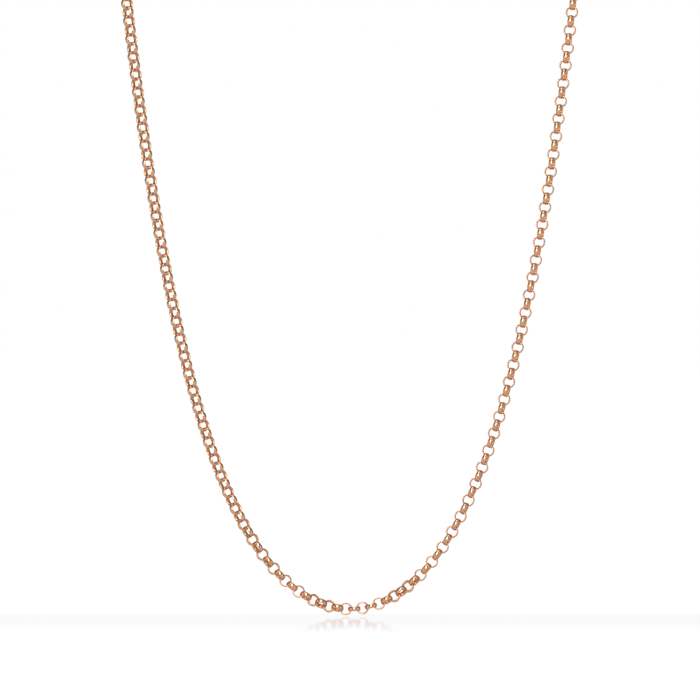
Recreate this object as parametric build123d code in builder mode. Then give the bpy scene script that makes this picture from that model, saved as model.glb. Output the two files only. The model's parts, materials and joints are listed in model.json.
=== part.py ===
"""Rolo chain necklace with a lobster clasp.

The necklace hangs closed in one upright plane. Its lower part is a free
hanging catenary, its upper part lies over a round as wide as a neck, and the
clasp lies flat on top, at the nape.

X runs across the necklace, Z is up, and the loop lies in the XZ plane.
The origin is the middle of the clasp's underside, where the neck carries it.
"""

from build123d import *
import os
from math import asinh, atan2, cos, hypot, pi, radians, sin, tan

os.makedirs("parts", exist_ok=True)

# ---------------------------------------------------------------- sizes, mm
# The whole necklace
nominal_length = 450.0  # round the closed necklace, clasp included
neck_radius = 39.8  # to the chain's centre line, where it lies on the neck

# One rolo link: a round ring of oval band
link_outer_diameter = 2.44
link_band_width = 0.96  # along the ring's own axis
link_wall = 0.27  # across the band, in the ring's plane
link_slack = 0.14  # play between two links of one stretch
fold_slack = 0.25  # play between two stretches, so that they can fold

# The chain is built in stretches that fold on each other
links_per_stretch = 6
bottom_links_per_side = 10

# How far the links are turned round the chain, degrees. Each row is a place
# along the chain, measured from its lowest point to the right, and a turn.
left_strand_twist = -45.0
right_strand_twist = -17.0
lower_twists = (
    (-32.0, left_strand_twist),
    (-22.0, -30.0),
    (-11.0, -14.0),
    (-6.4, -36.0),
    (-5.0, -35.0),
    (1.1, -6.0),
    (4.0, -6.0),
    (9.8, -35.0),
    (12.2, -35.0),
    (16.0, right_strand_twist),
)
upper_twist_start = 140.0  # above this the links turn towards the clasp
left_end_twist = 0.0
right_end_twist = -90.0

# The two jump rings at the clasp
jump_ring_inner_diameter = 2.80
jump_ring_wire = 0.60
jump_ring_play = 0.16  # between a jump ring's wire and the clasp, beyond touching

# The clasp
clasp_length = 10.5  # over the eye and the hook
clasp_width = 4.70
clasp_thickness = 1.60
clasp_wall = 1.00  # the hook's bar, across
heel_width = 3.90  # across the body at the lever's pivot
eye_hole_diameter = 1.40
eye_rim = 0.50
eye_thickness = 0.80
edge_round = 0.35
eye_edge_round = 0.25
cheek_overlap = 0.25  # cheeks past the lever's hub
cavity_gap = 0.45  # cheeks to the inside of the hook
hook_tip_reach = 0.15  # the hook's tip, back past the middle of its round end

# The lever that closes the hook
lever_thickness = 0.42  # at its hub, between the two cheeks
gate_thickness = 1.00  # at its arm, outside the cheeks
lever_hub_diameter = 1.50
gate_width = 0.72
lever_edge_round = 0.20
thumb_tab_width = 0.60
gate_clearance = 0.08  # between the arm's tip and the hook's tip
lever_clearance = 0.05  # between the lever and what it turns beside
thumb_tab_reach = 0.75  # out from the body's side

rivet_diameter = 0.56
rivet_head_diameter = 1.00
rivet_head_height = 0.10
running_clearance = 0.03  # radial, lever on rivet

spring_wire = 0.13
spring_turns = 2
spring_gap = 0.03  # between turns

# ------------------------------------------------------ worked out from them
link_mean_radius = (link_outer_diameter - link_wall) / 2
link_inner_radius = link_outer_diameter / 2 - link_wall
link_pitch = 2 * link_inner_radius - link_slack
fold_pitch = 2 * link_inner_radius - fold_slack

jump_ring_inner_radius = jump_ring_inner_diameter / 2
jump_ring_mean_radius = jump_ring_inner_radius + jump_ring_wire / 2
jump_to_link = jump_ring_inner_radius + link_inner_radius - fold_slack

eye_radius = eye_hole_diameter / 2 + eye_rim
eye_x = -clasp_length / 2 + eye_radius
hook_x = clasp_length / 2 - clasp_width / 2
hook_inner_end = clasp_length / 2 - clasp_wall
wire_seat = jump_ring_wire / 2 + jump_ring_play
tail_ring_x = eye_x - (eye_hole_diameter / 2 - wire_seat) - jump_ring_mean_radius
catch_ring_x = hook_inner_end - wire_seat + jump_ring_mean_radius

# The jump rings end up at equal distances left and right of the middle.
half_span = (catch_ring_x - tail_ring_x) / 2
clasp_x = -(catch_ring_x + tail_ring_x) / 2
top_z = clasp_thickness / 2

stretch_length = (links_per_stretch - 1) * link_pitch + fold_pitch
bottom_half_length = (bottom_links_per_side - 0.5) * fold_pitch
stretch_count = round(
    (nominal_length / 2 - half_span - jump_to_link - bottom_half_length) / stretch_length
)
side_links = bottom_links_per_side + stretch_count * links_per_stretch


# --------------------------------------------------- the chain's centre line
def link_distances():
    """Distance of each link's centre from the lowest point, along one side."""
    distances = [fold_pitch / 2]
    for number in range(1, side_links):
        in_bottom = number <= bottom_links_per_side
        starts_stretch = (number - bottom_links_per_side) % links_per_stretch == 0
        distances.append(distances[-1] + (fold_pitch if in_bottom or starts_stretch else link_pitch))
    return distances


side_distances = link_distances()
side_length = side_distances[-1] + jump_to_link + half_span


def lean_misfit(lean):
    """How much wider the catenary is than the neck, where it would leave it."""
    hanging = side_length - half_span - neck_radius * (pi / 2 + lean)
    return hanging * tan(lean) * asinh(1 / tan(lean)) - half_span - neck_radius * cos(lean)


def solve_lean():
    """Lean of the strands where they leave the neck, from upright."""
    low = radians(0.2)
    high = radians(40)
    for _ in range(60):
        middle = (low + high) / 2
        if lean_misfit(middle) < 0:
            low = middle
        else:
            high = middle
    return low


strand_lean = solve_lean()
hanging_length = side_length - half_span - neck_radius * (pi / 2 + strand_lean)
catenary_size = hanging_length * tan(strand_lean)
neck_center_z = top_z - neck_radius
leaving_z = neck_center_z - neck_radius * sin(strand_lean)
lowest_z = leaving_z - (hypot(catenary_size, hanging_length) - catenary_size)


def centre_line(distance):
    """Point, direction and outward side of the centre line.

    The distance is measured from the lowest point, positive to the right.
    """
    along = abs(distance)
    side = 1 if distance >= 0 else -1
    if along <= hanging_length:
        reach = hypot(catenary_size, along)
        x = catenary_size * asinh(along / catenary_size)
        z = lowest_z + reach - catenary_size
        rise = atan2(along, catenary_size)
    elif along <= side_length - half_span:
        turned = (along - hanging_length) / neck_radius - strand_lean
        x = half_span + neck_radius * cos(turned)
        z = neck_center_z + neck_radius * sin(turned)
        rise = pi / 2 + turned
    else:
        x = side_length - along
        z = top_z
        rise = pi
    point = Vector(side * x, 0, z)
    direction = Vector(cos(rise), 0, side * sin(rise))
    outward = Vector(side * sin(rise), 0, -cos(rise))
    return point, direction, outward


def twist_at(distance):
    """Turn of the links round the chain, in degrees, at a place along it."""
    end = side_distances[-1]
    rows = (
        (-end, left_end_twist),
        (-upper_twist_start, left_strand_twist),
        *lower_twists,
        (upper_twist_start, right_strand_twist),
        (end, right_end_twist),
    )
    for (start, start_twist), (stop, stop_twist) in zip(rows, rows[1:]):
        if distance <= stop:
            share = (distance - start) / (stop - start)
            return start_twist + share * (stop_twist - start_twist)
    return right_end_twist


def link_plane(number, side):
    """Plane of a link, counted from the lowest point, on side -1 or 1.

    Its Z is the ring's axis, and its X points along the chain. Every second
    link is turned a quarter round the chain.
    """
    distance = side * side_distances[number]
    point, direction, outward = centre_line(distance)
    quarter_turns = number if side > 0 else number + 1
    turn = radians(twist_at(distance) + 90 * (quarter_turns % 2))
    axis = outward * cos(turn) + Vector(0, 1, 0) * sin(turn)
    return Plane(origin=point, x_dir=direction, z_dir=axis)


def fold_point(number, side):
    """Point that link number - 1 turns about where it hangs in link number.

    It slides round inside the ring whose own axis is nearer the fold line.
    """
    upper = link_plane(number, side)
    lower = link_plane(number - 1, side)
    share = 1 - upper.z_dir.X**2 / (upper.z_dir.X**2 + lower.z_dir.X**2)
    return upper.origin + (lower.origin - upper.origin) * share


# ------------------------------------------------------------ chain stretches
with BuildPart() as link:
    with BuildSketch(Plane.XZ):
        with Locations((link_mean_radius, 0)):
            Ellipse(link_wall / 2, link_band_width / 2)
    revolve(axis=Axis.Z)


def make_stretch(node_name, planes):
    """Write a stretch of separate links as one node."""
    with BuildPart() as stretch:
        with Locations(*planes):
            add(link.part)
    stretch.part.label = node_name
    export_step(stretch.part, f"parts/{node_name}.step")


bottom_planes = [
    link_plane(number, side) for side in (-1, 1) for number in range(bottom_links_per_side)
]
make_stretch("bottom_chain", bottom_planes)

for order in range(stretch_count):
    last = side_links - order * links_per_stretch
    numbers = range(last - links_per_stretch, last)
    for side, side_name in ((-1, "left"), (1, "right")):
        make_stretch(f"{side_name}_chain_{order + 1:02d}", [link_plane(n, side) for n in numbers])


# ------------------------------------------------------------------ jump rings
def make_jump_ring(node_name, place):
    """Write a round-wire ring that stands upright across the clasp."""
    with BuildPart() as jump_ring:
        with BuildSketch(Plane(origin=place, x_dir=(1, 0, 0), z_dir=(0, 0, 1))):
            with Locations((jump_ring_mean_radius, 0)):
                Circle(jump_ring_wire / 2)
        revolve(axis=Axis(place, (0, 1, 0)))
    jump_ring.part.label = node_name
    export_step(jump_ring.part, f"parts/{node_name}.step")


make_jump_ring("tail_ring", (-half_span, 0, top_z))
make_jump_ring("catch_ring", (half_span, 0, top_z))

# ---------------------------------------------------------------------- clasp
clasp_plane = Plane((clasp_x, 0, top_z))

# Places in the clasp's own plane, X from the eye to the hook
pivot_x = eye_x + eye_radius + lever_hub_diameter / 2 + 0.35
pivot_y = heel_width / 2 - lever_hub_diameter / 2 - 0.12
slot_radius = lever_hub_diameter / 2 + lever_clearance
cheek_radius = lever_hub_diameter / 2 + cheek_overlap
cavity_start = pivot_x + cheek_radius + cavity_gap
cavity_height = clasp_width - 2 * clasp_wall
gate_y = clasp_width / 2 - clasp_wall / 2
gate_floor = pivot_y - slot_radius
arm_start_x = pivot_x + cheek_radius + lever_clearance + gate_width / 2
arm_tip_x = hook_x + hook_tip_reach - gate_clearance - gate_width / 2
tab_x = pivot_x + cheek_radius + thumb_tab_width / 2
tab_y = clasp_width / 2 + thumb_tab_reach - thumb_tab_width / 2

# Heights in the clasp: the lever's hub and the spring lie side by side
spring_pitch = spring_wire + spring_gap
spring_height = spring_turns * spring_pitch
slot_width = lever_thickness + spring_height + spring_wire + 3 * lever_clearance
hub_low = -slot_width / 2 + lever_clearance
spring_low = hub_low + lever_thickness + lever_clearance + spring_wire / 2
spring_radius = rivet_diameter / 2 + lever_clearance + spring_wire

with BuildPart() as clasp_tail:
    # Thin neck that ends in the eye
    with BuildSketch(clasp_plane.offset(-eye_thickness / 2)):
        with Locations((eye_x, 0)):
            Circle(eye_radius)
        with Locations((pivot_x, 0)):
            Circle(heel_width / 4)
        make_hull()
    extrude(amount=eye_thickness)
    fillet(faces().filter_by(Axis.Z).edges(), eye_edge_round)
    with BuildSketch(clasp_plane.offset(-eye_thickness / 2)):
        with Locations((eye_x, 0)):
            Circle(eye_hole_diameter / 2)
    extrude(amount=eye_thickness, mode=Mode.SUBTRACT)
    eye_edges = edges(Select.LAST).filter_by(GeomType.CIRCLE)
    fillet(eye_edges, eye_rim - eye_edge_round - 0.1)

with BuildPart() as clasp_body:
    # Round hook end and narrower heel, with the inside of the hook cut out
    with BuildSketch(clasp_plane.offset(-clasp_thickness / 2)):
        with Locations((hook_x, 0)):
            Circle(clasp_width / 2)
        with Locations((pivot_x, 0)):
            Circle(heel_width / 2)
        make_hull()
        with Locations(((cavity_start + hook_inner_end) / 2, 0)):
            SlotOverall(hook_inner_end - cavity_start, cavity_height, mode=Mode.SUBTRACT)
    extrude(amount=clasp_thickness)
    fillet(faces().filter_by(Axis.Z).edges(), edge_round)
    add(clasp_tail.part)
    # Gap that the lever's arm closes, round past the two cheeks
    with BuildSketch(clasp_plane.offset(-clasp_thickness / 2)):
        with Locations((pivot_x, gate_floor)):
            Rectangle(
                hook_x + hook_tip_reach - pivot_x, clasp_width, align=(Align.MIN, Align.MIN)
            )
        with Locations((pivot_x, pivot_y)):
            Circle(cheek_radius, mode=Mode.SUBTRACT)
    extrude(amount=clasp_thickness, mode=Mode.SUBTRACT)
    # Slot between the cheeks for the lever's hub and the spring
    with BuildSketch(clasp_plane.offset(-slot_width / 2)):
        with Locations((pivot_x, pivot_y)):
            Circle(slot_radius)
            Rectangle(cheek_radius, slot_radius * 2, align=(Align.MIN, Align.CENTER))
            Rectangle(slot_radius * 2, clasp_width, align=(Align.CENTER, Align.MIN))
    extrude(amount=slot_width, mode=Mode.SUBTRACT)
    # Rivet hole through both cheeks
    with BuildSketch(clasp_plane.offset(-clasp_thickness / 2)):
        with Locations((pivot_x, pivot_y)):
            Circle(rivet_diameter / 2)
    extrude(amount=clasp_thickness, mode=Mode.SUBTRACT)
clasp_body.part.label = "clasp_body"
export_step(clasp_body.part, "parts/clasp_body.step")

with BuildPart() as clasp_lever:
    # Arm that closes the hook, with the thumb tab beside the cheeks
    with BuildSketch(clasp_plane.offset(-gate_thickness / 2)):
        with Locations((arm_start_x, gate_y), (arm_tip_x, gate_y)):
            Circle(gate_width / 2)
        make_hull()
    extrude(amount=gate_thickness)
    with BuildSketch(clasp_plane.offset(-gate_thickness / 2)):
        with Locations((arm_start_x, gate_y)):
            Circle(gate_width / 2)
        with Locations((tab_x, tab_y)):
            Circle(thumb_tab_width / 2)
        make_hull()
    extrude(amount=gate_thickness)
    fillet(faces().filter_by(Axis.Z).edges(), lever_edge_round)
    # Thinner hub on the rivet
    with BuildSketch(clasp_plane.offset(hub_low)):
        with Locations((pivot_x, pivot_y)):
            Circle(lever_hub_diameter / 2)
        with Locations((arm_start_x, gate_y)):
            Circle(gate_width / 2)
        make_hull()
        with Locations((pivot_x, pivot_y)):
            Circle(rivet_diameter / 2 + running_clearance, mode=Mode.SUBTRACT)
    extrude(amount=lever_thickness)
clasp_lever.part.label = "clasp_lever"
export_step(clasp_lever.part, "parts/clasp_lever.step")

with BuildPart() as clasp_rivet:
    with BuildSketch(clasp_plane.offset(-clasp_thickness / 2)):
        with Locations((pivot_x, pivot_y)):
            Circle(rivet_diameter / 2)
    extrude(amount=clasp_thickness)
    # A low head at each end
    for head_plane in (
        clasp_plane.offset(clasp_thickness / 2),
        clasp_plane.offset(-clasp_thickness / 2 - rivet_head_height),
    ):
        with BuildSketch(head_plane):
            with Locations((pivot_x, pivot_y)):
                Circle(rivet_head_diameter / 2)
        extrude(amount=rivet_head_height)
    fillet(edges().group_by(Axis.Z)[-1] + edges().group_by(Axis.Z)[0], rivet_head_height * 0.7)
clasp_rivet.part.label = "clasp_rivet"
export_step(clasp_rivet.part, "parts/clasp_rivet.step")

with BuildPart() as clasp_spring:
    # Coil that turns the lever outwards, round the rivet
    coil_plane = Plane(clasp_plane.offset(spring_low).from_local_coords(Vector(pivot_x, pivot_y, 0)))
    with BuildLine(coil_plane):
        coil = Helix(spring_pitch, spring_height, spring_radius)
    with BuildSketch(Plane(origin=coil @ 0, z_dir=coil % 0)):
        Circle(spring_wire / 2)
    sweep(path=coil)
clasp_spring.part.label = "clasp_spring"
export_step(clasp_spring.part, "parts/clasp_spring.step")

print("links per side", side_links, "stretches", stretch_count)
print("length round", round(2 * side_length, 2), "catenary", round(catenary_size, 3))
print("lowest", round(lowest_z, 2), "half span", round(half_span, 3), "clasp x", round(clasp_x, 3))
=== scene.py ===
"""A rose gold rolo chain necklace with a lobster clasp, hung on a white set.

The makers are operators in the sidebar of the 3D view. Each reads its sizes
from the scene's settings, and its places from the frame's parts.
"""

import json
import random
from math import atan2, cos, pi, radians

import bpy
import numpy as np
from bpy.props import FloatProperty, FloatVectorProperty, IntProperty, PointerProperty
from bpy.types import Operator, Panel, PropertyGroup
from mathutils import Matrix, Vector

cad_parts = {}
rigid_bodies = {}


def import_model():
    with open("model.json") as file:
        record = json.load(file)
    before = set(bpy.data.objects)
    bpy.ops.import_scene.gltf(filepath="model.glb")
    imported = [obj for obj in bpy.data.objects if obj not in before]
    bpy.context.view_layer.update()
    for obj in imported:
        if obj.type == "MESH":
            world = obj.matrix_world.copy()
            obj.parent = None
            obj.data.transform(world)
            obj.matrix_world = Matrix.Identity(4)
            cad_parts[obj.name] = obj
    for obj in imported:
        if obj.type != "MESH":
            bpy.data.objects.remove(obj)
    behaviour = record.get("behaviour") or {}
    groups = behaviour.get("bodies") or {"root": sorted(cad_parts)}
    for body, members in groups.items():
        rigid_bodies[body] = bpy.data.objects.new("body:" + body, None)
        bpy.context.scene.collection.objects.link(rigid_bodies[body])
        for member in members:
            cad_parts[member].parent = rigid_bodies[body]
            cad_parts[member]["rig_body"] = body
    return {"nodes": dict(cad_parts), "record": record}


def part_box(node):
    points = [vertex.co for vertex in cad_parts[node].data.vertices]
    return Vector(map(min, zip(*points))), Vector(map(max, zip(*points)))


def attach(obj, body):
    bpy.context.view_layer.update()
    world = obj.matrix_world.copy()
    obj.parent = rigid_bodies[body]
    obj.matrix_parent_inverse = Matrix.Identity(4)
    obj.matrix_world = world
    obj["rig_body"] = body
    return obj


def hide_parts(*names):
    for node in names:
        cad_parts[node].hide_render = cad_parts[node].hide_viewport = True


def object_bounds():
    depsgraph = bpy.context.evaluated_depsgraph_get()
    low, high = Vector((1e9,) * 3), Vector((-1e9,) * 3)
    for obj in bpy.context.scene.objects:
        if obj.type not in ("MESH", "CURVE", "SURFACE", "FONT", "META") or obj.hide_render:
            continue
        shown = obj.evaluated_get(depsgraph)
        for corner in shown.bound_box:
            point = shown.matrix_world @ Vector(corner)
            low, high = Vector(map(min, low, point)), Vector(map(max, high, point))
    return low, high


bl_info = {
    "name": "Chain necklace",
    "version": (1, 0, 0),
    "blender": (4, 5, 0),
    "location": "3D View > Sidebar > Necklace",
    "description": "Makes the links, rings and clasp of a rolo chain necklace, and its white set",
    "category": "Object",
}

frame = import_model()
cad_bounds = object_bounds()

MILLIMETRE = 0.001

# Plate
DARKER_PLATE = 0.86  # a darker plate's share of the plate's brightness
TONE_SHARE = 0.25  # how far towards it the darkest link goes
CLOUD_SHARE = 0.15  # how dull the faint patches are, where 1 is the inside of a link
INSIDE_SHARE = 0.85  # how far the inside of a link goes towards the inner colour: painted shade in the link's hollow, on rougher metal
MARK_ROUGHNESS = 0.05  # roughness that the polishing marks add
MARK_STRENGTH = 0.05  # of the bump that the polishing marks make
MARK_DEPTH = 0.02 * MILLIMETRE

# Floor
POLISH = 0.33  # share of the floor's light that it mirrors, under the necklace
POLISH_REACH = 0.034  # metres towards the camera, over which the mirroring fades
POLISH_BEHIND = 0.01  # metres behind the necklace, over which it fades
POLISH_FACING = (0.76, 0.87)  # where mirroring starts and is full; 1 is a view along the floor
PAPER_WHITE = 1.035  # the floor as the camera sees it, making up for what the mirroring takes

# Softboxes and cards, metres. The front softbox is placed from the middle of
# the picture, the overhead one from the clasp, and the backdrop's height is
# from the lowest link.
FRONT_PLACE = (-0.05, -1.0, 0.1)
FRONT_SIZE = (0.50, 1.60)
SIDE_DISTANCE = 0.60
SIDE_AHEAD = 0.25
SIDE_SIZE = (0.30, 0.70)
TOP_PLACE = (0, -0.10, 0.50)
TOP_SIZE = (0.60, 0.50)
BACKDROP_DISTANCE = 2.0
BACKDROP_HEIGHT = 0.50
BACKDROP_SIZE = (1.60, 1.10)
SHADOW_BEHIND = 0.05
SHADOW_SIZE = (0.10, 0.14)
SENSOR_WIDTH = 36.0  # mm


# ------------------------------------------------------------------- settings
def length(name, description, millimetres):
    """A size property, given in millimetres and kept in metres."""
    return FloatProperty(
        name=name,
        description=description,
        default=millimetres * MILLIMETRE,
        unit="LENGTH",
        subtype="DISTANCE",
    )


def amount(name, description, value):
    """A plain factor."""
    return FloatProperty(name=name, description=description, default=value)


class LinkSettings(PropertyGroup):
    """One rolo link: a round ring of oval band."""

    outer_diameter: length("Outer diameter", "Over the ring", 2.44)
    band_width: length("Band width", "Of the band, along the ring's axis", 0.96)
    wall: length("Wall", "Of the band, in the ring's plane", 0.27)
    ring_sides: IntProperty(name="Ring sides", description="Faces round the ring", default=14)
    band_sides: IntProperty(name="Band sides", description="Faces round the band", default=6)
    tone_seed: IntProperty(
        name="Tone seed", description="Start of the draws that tone single links", default=4
    )


class MetalSettings(PropertyGroup):
    """The polished rose gold plate."""

    color: FloatVectorProperty(
        name="Colour",
        description="What the plate reflects of white light",
        subtype="COLOR",
        size=3,
        min=0.0,
        max=1.0,
        default=(0.96, 0.55, 0.33),
    )
    # Painted shade: the inside of each link takes this darker tone as shade in its hollow; faint
    # random patches, and the clasp's duller patches, take it too
    shade_and_patch_color: FloatVectorProperty(
        name="Inner colour",
        description="The plate where polishing doesn't reach",
        subtype="COLOR",
        size=3,
        min=0.0,
        max=1.0,
        default=(0.74, 0.36, 0.18),
    )
    roughness: amount("Roughness", "Of the polished outside", 0.09)
    inner_roughness: amount("Inner roughness", "Where polishing doesn't reach", 0.30)
    polish_scale: length("Polish scale", "Distance between polishing marks", 0.25)
    clouds: amount("Clouds", "Faintly duller patches in a metre", 420.0)


class StageSettings(PropertyGroup):
    """Floor, lights and camera."""

    floor_gap: length("Floor gap", "From the lowest link down to the floor", 0.15)
    view_width: length("View width", "Width of the picture at the necklace", 136.5)
    view_rise: length("View rise", "Camera above the necklace's lowest point", 51.7)
    lens: amount("Lens", "Focal length, mm", 120.0)
    room_light: amount("Room light", "Brightness of the room in reflections", 0.22)
    floor_light: amount("Floor light", "Brightness of the floor in reflections", 0.62)
    front_light: amount("Front light", "Brightness of the tall softbox behind the camera", 5.0)
    side_light: amount("Side light", "Brightness of the softboxes left and right", 0.8)
    top_light: amount("Top light", "Brightness of the overhead softbox", 1.3)


# ------------------------------------------------------------------- shading
class Socket:
    """A value in a node tree; expressions on it add Math nodes."""

    def __init__(self, shader, socket):
        self.shader = shader
        self.socket = socket

    def _math(self, operation, *values):
        node = self.shader.add("ShaderNodeMath", {"operation": operation}, dict(enumerate(values)))
        return node[0]

    def __add__(self, other):
        return self._math("ADD", self, other)

    def __sub__(self, other):
        return self._math("SUBTRACT", self, other)

    def __mul__(self, other):
        return self._math("MULTIPLY", self, other)

    __radd__ = __add__

    def between(self, low, high):
        """0 at low and below, 1 at high and above."""
        node = self.shader.add(
            "ShaderNodeMapRange", {"interpolation_type": "SMOOTHSTEP"}, {0: self, 1: low, 2: high}
        )
        return node[0]


class Added:
    """A node that has been added, whose outputs are taken by name or number."""

    def __init__(self, shader, node):
        self.shader = shader
        self.node = node

    def __getitem__(self, key):
        return Socket(self.shader, self.node.outputs[key])


class Shader:
    """Writes a node tree."""

    def __init__(self, tree):
        self.tree = tree
        self.tree.nodes.clear()

    def add(self, kind, settings=None, values=None):
        """Add a node: its settings first, then the values or links of its sockets."""
        node = self.tree.nodes.new(kind)
        for name, value in (settings or {}).items():
            setattr(node, name, value)
        for key, value in (values or {}).items():
            if isinstance(value, Socket):
                self.tree.links.new(value.socket, node.inputs[key])
            else:
                node.inputs[key].default_value = value
        return Added(self, node)

    def mix(self, factor, low, high):
        """Blend two colours."""
        node = self.add(
            "ShaderNodeMix", {"data_type": "RGBA"}, {"Factor": factor, 6: low, 7: high}
        )
        return node[2]


def opaque(color):
    """A colour property as four numbers."""
    return (*color, 1.0)


def plate_material(name, on_links):
    """Polished rose gold plate. On links, the inside is rougher and painted darker, as painted
    shade in the link's hollow.
    """
    metal = bpy.context.scene.necklace_metal
    material = bpy.data.materials.new(name)
    material.use_nodes = True
    shader = Shader(material.node_tree)
    place = shader.add("ShaderNodeTexCoord")["Object"]
    cloud = shader.add(
        "ShaderNodeTexNoise", None, {"Vector": place, "Scale": metal.clouds, "Detail": 3.0}
    )[0]
    marks = shader.add(
        "ShaderNodeTexNoise",
        None,
        {"Vector": place, "Scale": 1.0 / metal.polish_scale, "Detail": 4.0, "Roughness": 0.6},
    )[0]
    if on_links:
        inside = shader.add("ShaderNodeAttribute", {"attribute_name": "inside"})["Fac"]
        tone = shader.add("ShaderNodeAttribute", {"attribute_name": "tone"})["Fac"]
    else:
        inside = cloud.between(0.55, 0.85) * 0.5
        tone = marks
    # Painted shade inside each link, plus faint duller patches at random; on the clasp, random
    # patches only
    dulling_and_shade = inside * INSIDE_SHARE + cloud.between(0.45, 0.75) * CLOUD_SHARE
    color = shader.mix(dulling_and_shade, opaque(metal.color), opaque(metal.shade_and_patch_color))
    color = shader.mix(tone * TONE_SHARE, color, opaque(Vector(metal.color) * DARKER_PLATE))
    roughness = (
        metal.roughness
        + inside * (metal.inner_roughness - metal.roughness)
        + marks.between(0.35, 0.7) * MARK_ROUGHNESS
    )
    bump = shader.add(
        "ShaderNodeBump",
        None,
        {"Strength": MARK_STRENGTH, "Distance": MARK_DEPTH, "Height": marks},
    )
    surface = shader.add(
        "ShaderNodeBsdfPrincipled",
        None,
        {"Base Color": color, "Metallic": 1.0, "Roughness": roughness, "Normal": bump[0]},
    )
    shader.add("ShaderNodeOutputMaterial", None, {"Surface": surface[0]})
    return material


# ------------------------------------------------------------------- modelling
def deselect():
    """Leave nothing selected, in object mode."""
    if bpy.context.object and bpy.context.object.mode != "OBJECT":
        bpy.ops.object.mode_set(mode="OBJECT")
    bpy.ops.object.select_all(action="DESELECT")


def edit_all(thing):
    """Open one object in edit mode with everything selected."""
    deselect()
    thing.select_set(True)
    bpy.context.view_layer.objects.active = thing
    bpy.ops.object.mode_set(mode="EDIT")
    bpy.ops.mesh.select_all(action="SELECT")


def joined(pieces):
    """Join pieces into the first of them."""
    deselect()
    for piece in pieces:
        piece.select_set(True)
    bpy.context.view_layer.objects.active = pieces[0]
    bpy.ops.object.join()
    return pieces[0]


def slot_of(node):
    """The record's material slot of a node."""
    rows = frame["record"]["subparts"]
    return next(row["material_slot"] for row in rows if row["node"] == node)


def finish_piece(piece, name, node, material):
    """Name a piece, give it its metal, and let it stand for its part of the frame."""
    piece.name = name
    piece.data.name = name
    piece.data.materials.clear()
    piece.data.materials.append(material)
    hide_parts(node)
    slot_of(node)
    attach(piece, frame["nodes"][node]["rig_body"])


def link_places(node):
    """Centre and axis of each link in a stretch, measured from the frame."""
    deselect()
    mesh = frame["nodes"][node].data.copy()
    copy = bpy.data.objects.new("measured", mesh)
    bpy.context.scene.collection.objects.link(copy)
    edit_all(copy)
    bpy.ops.mesh.remove_doubles(threshold=1e-6)
    bpy.ops.mesh.separate(type="LOOSE")
    bpy.ops.object.mode_set(mode="OBJECT")
    places = []
    for part in list(bpy.context.selected_objects):
        points = np.empty(len(part.data.vertices) * 3)
        part.data.vertices.foreach_get("co", points)
        points = points.reshape(-1, 3)
        center = (points.min(0) + points.max(0)) / 2
        spread = np.linalg.eigh(np.cov((points - center).T))
        places.append((Vector(center), Vector(spread[1][:, 0]), node))
        bpy.data.objects.remove(part)
    return places


def loop_angle(place):
    """Where a link stands round the loop, seen from the loop's middle."""
    low, high = (Vector(corner) for corner in cad_bounds)
    middle = (low + high) / 2
    return atan2(place[0].x - middle.x, middle.z - place[0].z)


def link_matrices():
    """Place of every link by node: X along the chain, Z along the ring's axis."""
    places = []
    for node in frame["nodes"]:
        if "chain" in node:
            places += link_places(node)
    places.sort(key=loop_angle)
    matrices = {}
    for number, (center, axis, node) in enumerate(places):
        after = places[min(number + 1, len(places) - 1)][0]
        before = places[max(number - 1, 0)][0]
        along = after - before
        along = (along - axis * along.dot(axis)).normalized()
        turn = Matrix((along, axis.cross(along), axis)).transposed().to_4x4()
        matrices.setdefault(node, []).append(Matrix.Translation(center) @ turn)
    return matrices


def make_link():
    """One link: a ring primitive, drawn out to an oval band with its rims eased."""
    link = bpy.context.scene.necklace_link
    mean_radius = (link.outer_diameter - link.wall) / 2
    # The flat faces lie inside the round forms, so both radii are let out a little.
    wall_radius = link.wall / 2 / cos(pi / link.band_sides)
    ring_radius = mean_radius / (0.5 + 0.5 * cos(pi / link.ring_sides))
    deselect()
    bpy.ops.mesh.primitive_torus_add(
        major_segments=link.ring_sides,
        minor_segments=link.band_sides,
        major_radius=ring_radius,
        minor_radius=wall_radius,
    )
    ring = bpy.context.object
    edit_all(ring)
    bpy.ops.transform.resize(value=(1, 1, link.band_width / (2 * wall_radius)))
    bpy.ops.object.mode_set(mode="OBJECT")
    bpy.ops.object.shade_smooth()
    # 1 towards the ring's hollow: where the plate is made rougher and painted darker as shade
    inside = ring.data.attributes.new("inside", "FLOAT", "POINT")
    for vertex, value in zip(ring.data.vertices, inside.data):
        depth = mean_radius - vertex.co.to_2d().length
        value.value = min(1.0, max(0.0, 0.5 + depth / link.wall))
    return ring


class NECKLACE_OT_chain(Operator):
    """Make every link of the chain"""

    bl_idname = "necklace.chain"
    bl_label = "Chain"

    def execute(self, context):
        material = plate_material("rose_gold_links", on_links=True)
        ring = make_link()
        draw = random.Random(context.scene.necklace_link.tone_seed)
        for node, matrices in link_matrices().items():
            copies = []
            for matrix in matrices:
                mesh = ring.data.copy()
                mesh.transform(matrix)
                tone = mesh.attributes.new("tone", "FLOAT", "POINT")
                tone.data.foreach_set("value", [draw.random()] * len(mesh.vertices))
                copy = bpy.data.objects.new("link", mesh)
                context.scene.collection.objects.link(copy)
                copies.append(copy)
            finish_piece(joined(copies), f"{node}_links", node, material)
        bpy.data.objects.remove(ring)
        return {"FINISHED"}


class NECKLACE_OT_clasp(Operator):
    """Give the clasp and its rings their plate"""

    bl_idname = "necklace.clasp"
    bl_label = "Clasp"

    def execute(self, context):
        material = plate_material("rose_gold_clasp", on_links=False)
        for name, node in frame["nodes"].items():
            if "chain" not in name:
                node.data.materials.clear()
                node.data.materials.append(material)
        return {"FINISHED"}


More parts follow.
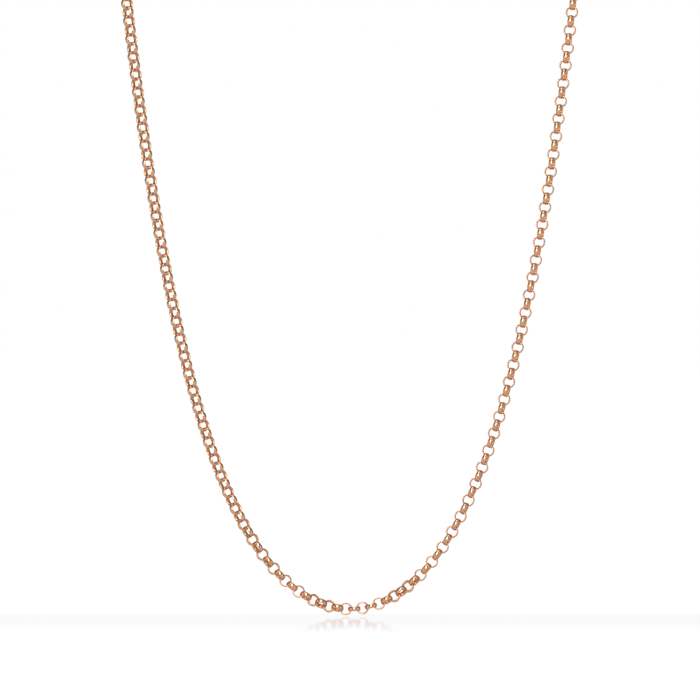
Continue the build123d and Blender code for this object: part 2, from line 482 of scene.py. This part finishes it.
# ----------------------------------------------------------------------- stage
def softbox(name, place, target, size, brightness):
    """A rectangular lamp that faces a point."""
    bpy.ops.object.light_add(type="AREA", location=place)
    lamp = bpy.context.object
    lamp.name = name
    lamp.data.shape = "RECTANGLE"
    lamp.data.size = size[0]
    lamp.data.size_y = size[1]
    lamp.data.energy = brightness * pi * size[0] * size[1]
    lamp.rotation_euler = (Vector(target) - Vector(place)).to_track_quat("-Z", "Y").to_euler()
    lamp.visible_camera = False


def flat_card(name, place, size, brightness):
    """An upright rectangle of one brightness that only reflections show."""
    bpy.ops.mesh.primitive_plane_add(size=1, location=place, rotation=(radians(90), 0, 0))
    card = bpy.context.object
    card.name = name
    card.scale = (*size, 1)
    material = bpy.data.materials.new(name)
    material.use_nodes = True
    shader = Shader(material.node_tree)
    grey = (brightness, brightness, brightness)
    glow = shader.add("ShaderNodeEmission", None, {"Color": opaque(grey), "Strength": 1.0})
    shader.add("ShaderNodeOutputMaterial", None, {"Surface": glow[0]})
    card.data.materials.append(material)
    card.visible_camera = False
    card.visible_shadow = False


class NECKLACE_OT_stage(Operator):
    """Set the floor, the lamps, the room and the camera"""

    bl_idname = "necklace.stage"
    bl_label = "Stage"

    def execute(self, context):
        stage = context.scene.necklace_stage
        deselect()
        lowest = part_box("bottom_chain")[0].z
        eye_height = lowest + stage.view_rise
        distance = stage.view_width * stage.lens / SENSOR_WIDTH
        self.make_floor(lowest - stage.floor_gap, stage.floor_light)
        self.make_room(stage.room_light)
        target = Vector((0, 0, eye_height))
        place = target + Vector(FRONT_PLACE)
        softbox("front_softbox", place, target, FRONT_SIZE, stage.front_light)
        for name, side in (("left_softbox", -1), ("right_softbox", 1)):
            place = target + Vector((side * SIDE_DISTANCE, -SIDE_AHEAD, 0))
            softbox(name, place, target, SIDE_SIZE, stage.side_light)
        softbox("top_softbox", TOP_PLACE, target, TOP_SIZE, stage.top_light)
        # What the floor mirrors behind the necklace
        flat_card("backdrop", (0, BACKDROP_DISTANCE, lowest + BACKDROP_HEIGHT), BACKDROP_SIZE, 1.0)
        # The camera, which the links that face it mirror as a dark line
        flat_card("camera_shadow", (0, -distance - SHADOW_BEHIND, eye_height), SHADOW_SIZE, 0.01)
        bpy.ops.object.camera_add(
            location=(0, -distance, eye_height), rotation=(radians(90), 0, 0)
        )
        camera = context.object
        camera.data.lens = stage.lens
        camera.data.sensor_width = SENSOR_WIDTH
        camera.data.clip_start = 0.01
        context.scene.camera = camera
        context.scene.view_settings.view_transform = "Standard"
        return {"FINISHED"}

    def make_floor(self, height, brightness):
        """A white glossy floor that mirrors the lowest links faintly."""
        bpy.ops.mesh.primitive_plane_add(size=8.0, location=(0, 0, height))
        floor = bpy.context.object
        floor.name = "floor"
        material = bpy.data.materials.new("white_floor")
        material.use_nodes = True
        shader = Shader(material.node_tree)
        seen = shader.add("ShaderNodeLightPath")["Is Camera Ray"]
        level = seen * (PAPER_WHITE - brightness) + brightness
        paper = shader.add("ShaderNodeEmission", None, {"Strength": level})
        gloss = shader.add("ShaderNodeBsdfGlossy", None, {"Roughness": 0.10})
        place = shader.add("ShaderNodeTexCoord")["Object"]
        ahead = shader.add("ShaderNodeSeparateXYZ", None, {0: place})["Y"]
        near = ahead.between(-POLISH_REACH, -POLISH_REACH / 4) - ahead.between(0.0, POLISH_BEHIND)
        low_view = shader.add("ShaderNodeLayerWeight")["Facing"].between(*POLISH_FACING)
        polish = near * low_view * seen * POLISH
        surface = shader.add("ShaderNodeMixShader", None, {0: polish, 1: paper[0], 2: gloss[0]})
        shader.add("ShaderNodeOutputMaterial", None, {"Surface": surface[0]})
        floor.data.materials.append(material)

    def make_room(self, brightness):
        """White where the camera looks, dimmer where the metal does."""
        world = bpy.data.worlds.new("white_room")
        world.use_nodes = True
        bpy.context.scene.world = world
        shader = Shader(world.node_tree)
        seen = shader.add("ShaderNodeLightPath")["Is Camera Ray"]
        level = seen * (1.0 - brightness) + brightness
        sky = shader.add("ShaderNodeBackground", None, {"Color": (1, 1, 1, 1), "Strength": level})
        shader.add("ShaderNodeOutputWorld", None, {"Surface": sky[0]})


# ------------------------------------------------------------------------ panel
class NECKLACE_PT_makers(Panel):
    """Sizes and makers of the necklace"""

    bl_label = "Necklace"
    bl_space_type = "VIEW_3D"
    bl_region_type = "UI"
    bl_category = "Necklace"

    def draw(self, context):
        scene = context.scene
        for title, settings, maker in (
            ("Links", scene.necklace_link, "necklace.chain"),
            ("Metal", scene.necklace_metal, "necklace.clasp"),
            ("Stage", scene.necklace_stage, "necklace.stage"),
        ):
            box = self.layout.box()
            box.label(text=title)
            for name in settings.__annotations__:
                box.prop(settings, name)
            box.operator(maker)


CLASSES = (
    LinkSettings,
    MetalSettings,
    StageSettings,
    NECKLACE_OT_chain,
    NECKLACE_OT_clasp,
    NECKLACE_OT_stage,
    NECKLACE_PT_makers,
)


def register():
    for one in CLASSES:
        bpy.utils.register_class(one)
    bpy.types.Scene.necklace_link = PointerProperty(type=LinkSettings)
    bpy.types.Scene.necklace_metal = PointerProperty(type=MetalSettings)
    bpy.types.Scene.necklace_stage = PointerProperty(type=StageSettings)


def unregister():
    del bpy.types.Scene.necklace_stage
    del bpy.types.Scene.necklace_metal
    del bpy.types.Scene.necklace_link
    for one in reversed(CLASSES):
        bpy.utils.unregister_class(one)


def main():
    register()
    bpy.ops.necklace.chain()
    bpy.ops.necklace.clasp()
    bpy.ops.necklace.stage()


if __name__ == "__main__":
    main()
